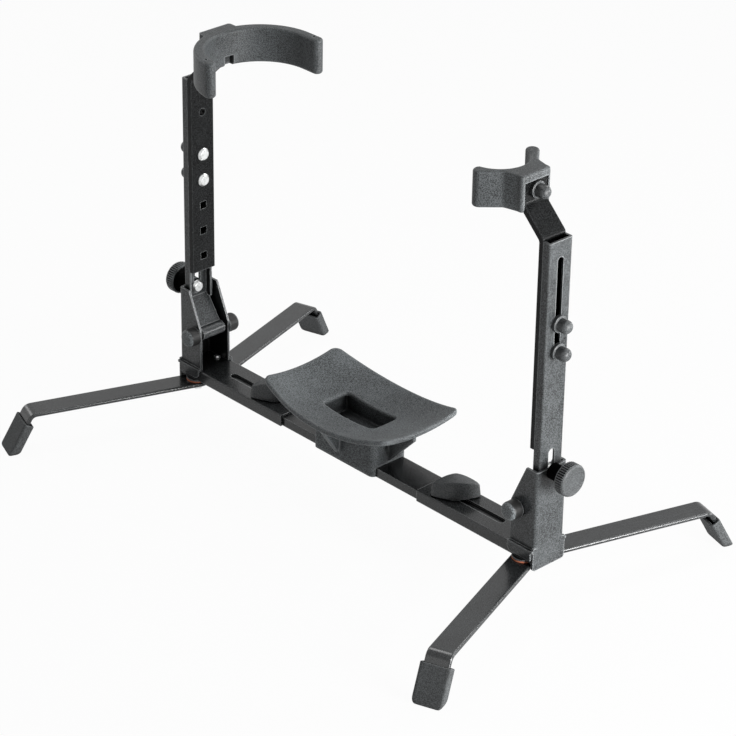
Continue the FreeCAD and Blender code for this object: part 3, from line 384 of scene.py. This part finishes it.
# thumb knobs: collar, ribbed rim, slightly sunk face
thumbKnob = {
    "place": (218.0, 0.0, 120.0), "ribs": 42, "stepsPerRib": 10, "ribDepth": 0.9, "sharp": 32.0,
    "grooveHalf": 0.3, "grooveSlope": 10.0,  # half width as a share of a rib, and how steeply it is cut
    "grooveSteps": (3, 4, 5, 6),  # steps of each rib that lie in the groove
    "collarRows": (3, 4, 5, 6),  # profile rows of the collar, painted dark as shade
    # along the axis, radius, 1 where the ribs are cut
    "profile": [
        (16.7, 3.05, 0), (0.0, 3.05, 0), (0.0, 6.4, 0), (0.35, 6.8, 0), (12.9, 6.8, 0), (13.6, 7.2, 0),
        (13.8, 8.0, 0), (13.8, 11.9, 0), (14.05, 12.7, 0), (14.6, 13.2, 0),
        (15.0, 13.75, 1), (18.0, 13.75, 1), (21.6, 13.75, 1),
        (22.0, 13.4, 0), (22.7, 13.1, 0), (23.1, 12.6, 0), (23.2, 12.1, 0), (23.2, 11.6, 0), (23.0, 11.2, 0),
        (22.95, 7.0, 0), (22.9, 1.0, 0)],
}


def thumbRings(choice):
    count = choice["ribs"] * choice["stepsPerRib"]
    rings = []
    for along, radius, ribbed in choice["profile"]:
        ring = []
        for k in range(count):
            turn = 2 * math.pi * k / count
            wave = (k % choice["stepsPerRib"]) / choice["stepsPerRib"]
            inGroove = choice["grooveSlope"] * (choice["grooveHalf"] - abs(wave - 0.5))
            r = radius - ribbed * choice["ribDepth"] * min(1.0, max(0.0, inGroove))
            ring.append((along, r * math.cos(turn), r * math.sin(turn)))
        rings.append(ring)
    return rings


def paintGrooveShade(piece, choice):
    steps = choice["stepsPerRib"]
    count = choice["ribs"] * steps
    ribbedRows = [row for row, point in enumerate(choice["profile"]) if point[2]]
    # collar and groove faces take the painted shade
    dark = [row * count + k for row in choice["collarRows"] for k in range(count)]
    dark += [row * count + k for row in ribbedRows[:-1] for k in range(count)
             if k % steps in choice["grooveSteps"]]
    piece.data.materials.append(finishes["paintedGrooveShade"])
    for number in dark:
        piece.data.polygons[number].material_index = 1


for sign, side in ((1, "right"), (-1, "left")):
    place = mirror(x=sign) @ Matrix.Translation(thumbKnob["place"])
    piece = addPiece(side + "ThumbKnob", thumbRings(thumbKnob), place, "knob",
                     side + "_thumb", side + "_thumb_knob", thumbKnob["sharp"])
    paintGrooveShade(piece, thumbKnob)
print("thumb knobs done")

# wing knobs: lens in plan, sloping sides, top arched along its length
wingKnob = {
    "place": (112.0, 0.0, 51.3), "turn": 46.0, "halfLong": 20.6, "halfWide": 10.2, "tip": 2.6,
    "height": 15.9, "endHeight": 10.7, "draft": 0.12, "round": 1.1, "bore": 3.05, "boreDepth": 11.0,
    "flankPower": 1.35, "tipPower": 24, "tipGain": 1.02, "count": 96, "sharp": 34.0,
    "lowerEdge": ((0.6, 0.0), (0.2, 0.15)), "foot": 0.5,  # inset and height, and where the sides start
    "sideSteps": (0.05, 0.3, 0.6, 0.85), "rimSteps": 5,
}


def moveIn(choice, x, y, inset):
    return x * (1 - inset / choice["halfLong"]), y - math.copysign(min(inset, abs(y)), y)


def wingOutline(choice, inset=0.0):
    # closed outline, nearly straight flanks that meet in rounded tips
    points = []
    for k in range(choice["count"]):
        turn = 2 * math.pi * k / choice["count"]
        share = abs(math.cos(turn))
        flank = choice["tip"] + (choice["halfWide"] - choice["tip"]) * (1 - share ** choice["flankPower"])
        blunt = min(1.0, math.sqrt(max(0.0, 1 - share ** choice["tipPower"])) * choice["tipGain"])
        y = flank * blunt * (1 if math.sin(turn) >= 0 else -1)
        points.append(moveIn(choice, choice["halfLong"] * math.cos(turn), y, inset))
    return points


def wingTop(choice, x):
    drop = choice["height"] - choice["endHeight"]
    radius = (choice["halfLong"] ** 2 + drop ** 2) / 2 / drop
    return choice["height"] - radius + math.sqrt(radius ** 2 - x ** 2)


def wingRings(choice):
    count = choice["count"]
    turns = [2 * math.pi * k / count for k in range(count)]
    circle = [(choice["bore"] * math.cos(turn), choice["bore"] * math.sin(turn)) for turn in turns]
    outline = wingOutline(choice)
    rings = [[(x, y, height) for x, y in circle] for height in (choice["boreDepth"], 0.0)]
    rings += [[(x, y, height) for x, y in wingOutline(choice, inset)]
              for inset, height in choice["lowerEdge"]]
    for share in choice["sideSteps"]:
        ring = []
        for x, y in outline:
            z = choice["foot"] + (wingTop(choice, x) - choice["round"] - choice["foot"]) * share
            ring.append((*moveIn(choice, x, y, z * choice["draft"]), z))
        rings.append(ring)
    for turn in quarterTurn(choice["rimSteps"]):  # rounded rim
        ring = []
        for x, y in outline:
            z = wingTop(choice, x) - choice["round"] * (1 - math.sin(turn))
            inset = choice["draft"] * z + choice["round"] * (1 - math.cos(turn))
            ring.append((*moveIn(choice, x, y, inset), z))
        rings.append(ring)
    return rings


for sign, side in ((1, "right"), (-1, "left")):
    place = mirror(sign, sign) @ Matrix.Translation(wingKnob["place"])
    place = place @ Matrix.Rotation(math.radians(wingKnob["turn"]), 4, "Z")
    addPiece(side + "WingKnob", wingRings(wingKnob), place, "knob",
             side + "_wing", side + "_wing_knob", wingKnob["sharp"], bridged=True)
print("wing knobs done")

# boots: flat rubber sleeves on the leg ends, cut level with the floor
boot = {
    "pivot": (201.5, -11.5, 33.5), "drop": 61.0, "legMiddle": 35.5, "setIn": 0.88,
    # length of the leg and its splay
    "front": (155.0, 20.3), "rear": (152.11, 16.9),
    "halfWide": 13.5, "halfDeep": 4.5, "corner": 2.4, "leastCorner": 0.4, "toe": 4.5, "soleRound": 2.2,
    "hollow": 0.25, "length": 31.5, "rim": 0.6, "wall": 2.0, "sole": 5.0,
    "innerMiddle": 20.0, "innerRound": 0.6,
    "cornerSteps": 6, "longSteps": 12, "shortSteps": 3, "soleSteps": 6, "rimSteps": 4, "sharp": 45.0,
    "soleRings": (0.25, 0.75), "sideSteps": (0.15, 0.35, 0.55, 0.75, 0.92),
}


def bootOutline(choice, inset):
    wide, deep = choice["halfWide"] - inset, choice["halfDeep"] - inset
    corner = max(choice["corner"] - inset, choice["leastCorner"])
    points = []
    for quarter, (signX, signY) in enumerate(((1, -1), (1, 1), (-1, 1), (-1, -1))):
        for k in range(choice["cornerSteps"] + 1):
            turn = math.radians(90 * (quarter - 1) + 90 * k / choice["cornerSteps"])
            points.append((signX * (wide - corner) + corner * math.cos(turn),
                           signY * (deep - corner) + corner * math.sin(turn)))
        steps = choice["shortSteps"] if quarter % 2 == 0 else choice["longSteps"]
        for k in range(1, steps):
            share = 2 * k / steps - 1
            if quarter % 2 == 0:
                points.append((signX * wide, share * (deep - corner) * signX))
            else:
                points.append((share * (wide - corner) * -signY, signY * deep))
    return points


def bootRings(choice):
    slope = 1 / math.tan(math.radians(choice["drop"]))
    lean = math.sin(math.radians(choice["drop"]))
    top, rim, wall = choice["length"], choice["rim"], choice["wall"]

    def floorRing(turn, scale=1.0):
        # quarter-round between sole and side; the sole curves up at its two ends
        ring = []
        soleRound = choice["soleRound"]
        for x, y in bootOutline(choice, 0.0):
            inset = soleRound * (1 - math.sin(turn))
            x, y = x * scale * (1 - inset / choice["halfWide"]), y * scale * (1 - inset / choice["halfDeep"])
            beyond = max(0.0, abs(x) - choice["halfWide"] + choice["toe"])
            rise = choice["toe"] - math.sqrt(max(0.0, choice["toe"] ** 2 - beyond ** 2))
            ring.append((x, y, y * slope + (rise + soleRound * (1 - math.cos(turn))) / lean))
        return ring

    rings = [floorRing(0.0, scale) for scale in choice["soleRings"]]
    rings += [floorRing(turn) for turn in quarterTurn(choice["soleSteps"])]
    low = rings[-1]
    for share in choice["sideSteps"]:  # slightly hollow sides
        ring = []
        for x, y, z in low:
            bow = choice["hollow"] * math.sin(math.pi * share) * (1 - (x / choice["halfWide"]) ** 2)
            ring.append((x, y - math.copysign(bow, y), z + (top - rim - z) * share))
        rings.append(ring)
    # inset and height, over the rim and down inside
    path = [(rim * (1 - math.cos(turn)), top - rim * (1 - math.sin(turn)))
            for turn in quarterTurn(choice["rimSteps"])]
    path += [(wall - rim * (1 - math.sin(turn)), top - rim * (1 - math.cos(turn)))
             for turn in quarterTurn(choice["rimSteps"])[1:]]
    path += [(wall, choice["innerMiddle"]), (wall, choice["sole"] + choice["innerRound"]),
             (wall + choice["innerRound"], choice["sole"])]
    rings += [[(x, y, height) for x, y in bootOutline(choice, inset)] for inset, height in path]
    return rings


def bootPlace(choice, end):
    reach, splay = choice[end]
    touch = reach + choice["legMiddle"] / math.tan(math.radians(choice["drop"])) - choice["setIn"]
    return (Matrix.Translation(choice["pivot"])
            @ Matrix.Rotation(math.radians(splay - 90), 4, "Z")
            @ Matrix.Translation((touch, 0, -choice["pivot"][2]))
            @ Matrix.Rotation(math.radians(choice["drop"] - 90), 4, "Y")
            @ Matrix.Rotation(math.radians(90), 4, "Z"))


for signX, side in ((1, "right"), (-1, "left")):
    for signY, end in ((1, "front"), (-1, "rear")):
        corner = side + "_" + end
        place = mirror(signX, signY) @ bootPlace(boot, end)
        addPiece(side + end.title() + "Boot", bootRings(boot), place, "rubber",
                 corner + "_leg_body", corner + "_foot", boot["sharp"])
print("boots done")

# floor, light and camera
studio = {
    "floorSize": 60.0, "floorColour": grey(0.5), "glow": 0.96, "ambient": 0.05,
    # place, aim, width, height, power
    "lamps": [
        ("rightSoftbox", (1.25, 0.10, 0.30), (0.10, 0.0, 0.18), 0.5, 0.5, 29.0),
        ("rightRim", (0.75, 0.65, 0.24), (0.15, 0.0, 0.15), 0.25, 0.25, 3.0),
        ("rightSparkle", (0.85, 0.45, 0.85), (0.2, 0.0, 0.1), 0.2, 0.2, 1.5),
        ("backSoftbox", (0.0, 1.3, 1.4), (0.0, 0.0, 0.1), 0.5, 0.5, 7.0),
        ("backStrip", (0.35, 1.2, 0.38), (0.1, 0.0, 0.05), 0.5, 0.12, 2.5),
        ("topSoftbox", (-0.45, 0.08, 1.35), (0.1, -0.1, 0.1), 0.5, 0.5, 4.5),
        ("leftFill", (-1.2, -0.3, 0.7), (0.0, 0.0, 0.1), 0.5, 0.5, 2.8),
        ("frontFill", (0.0, -1.7, 0.5), (0.0, 0.0, 0.2), 0.9, 0.9, 2.6),
    ],
}


def seenDirectly(s):
    camera, glossy, through = (s.node("LightPath", take=ray)
                               for ray in ("Is Camera Ray", "Is Glossy Ray", "Is Transmission Ray"))
    return (camera + glossy + through).clipped()


def makeFloor(choice):
    made = bpy.data.materials.new("paleFloor")
    made.use_nodes = True
    tree = made.node_tree
    tree.nodes.remove(tree.nodes["Principled BSDF"])
    s = Shade(tree)
    lit = s.node("BsdfDiffuse", None, {"Color": choice["floorColour"]})
    glow = s.node("Emission", None, {"Color": grey(1.0), "Strength": 1.0})
    both = s.node("MixShader", None, {0: seenDirectly(s) * choice["glow"], 1: lit, 2: glow})
    s.feed(tree.nodes["Material Output"].inputs["Surface"], both)
    half = choice["floorSize"] / 2
    corners = [(-half, -half, 0), (half, -half, 0), (half, half, 0), (-half, half, 0)]
    mesh = bpy.data.meshes.new("floor")
    mesh.from_pydata(corners, [], [(0, 1, 2, 3)])
    mesh.materials.append(made)
    floor = bpy.data.objects.new("floor", mesh)
    bpy.context.scene.collection.objects.link(floor)


def makeWorld(choice):
    world = bpy.data.worlds.new("studio")
    world.use_nodes = True
    bpy.context.scene.world = world
    s = Shade(world.node_tree)
    sky = world.node_tree.nodes["Background"]
    s.feed(sky.inputs["Color"], grey(1.0))
    s.feed(sky.inputs["Strength"], choice["ambient"] + (1 - choice["ambient"]) * seenDirectly(s))


def makeLamps(choice):
    for name, place, aim, width, height, power in choice["lamps"]:
        lamp = bpy.data.lights.new(name, "AREA")
        lamp.shape = "RECTANGLE"
        lamp.size, lamp.size_y, lamp.energy = width, height, power
        stand = bpy.data.objects.new(name, lamp)
        stand.location = place
        stand.rotation_mode = "QUATERNION"
        stand.rotation_quaternion = (Vector(aim) - Vector(place)).to_track_quat("-Z", "Y")
        stand.visible_camera = False
        bpy.context.scene.collection.objects.link(stand)


viewpoint = {
    "place": (1.6345, -1.5444, 1.3268), "azimuth": 46.53, "elevation": 28.14, "roll": 0.91,
    "lens": 150.15, "sensor": 36.0, "clip": (0.05, 100.0),
}


def makeCamera(choice):
    lens = bpy.data.cameras.new("viewpoint")
    lens.lens, lens.sensor_width = choice["lens"], choice["sensor"]
    lens.clip_start, lens.clip_end = choice["clip"]
    camera = bpy.data.objects.new("viewpoint", lens)
    a, e, roll = (math.radians(choice[word]) for word in ("azimuth", "elevation", "roll"))
    back = Vector((math.sin(a) * math.cos(e), -math.cos(a) * math.cos(e), math.sin(e)))
    right = Vector((math.cos(a), math.sin(a), 0))
    up = back.cross(right)
    rolledRight = math.cos(roll) * right + math.sin(roll) * up
    rolledUp = math.cos(roll) * up - math.sin(roll) * right
    turn = Matrix((rolledRight, rolledUp, back)).transposed()
    camera.matrix_world = Matrix.Translation(choice["place"]) @ turn.to_4x4()
    bpy.context.scene.collection.objects.link(camera)
    bpy.context.scene.camera = camera


makeFloor(studio)
makeWorld(studio)
makeLamps(studio)
makeCamera(viewpoint)
bpy.context.scene.view_settings.view_transform = "Standard"
print("studio done")
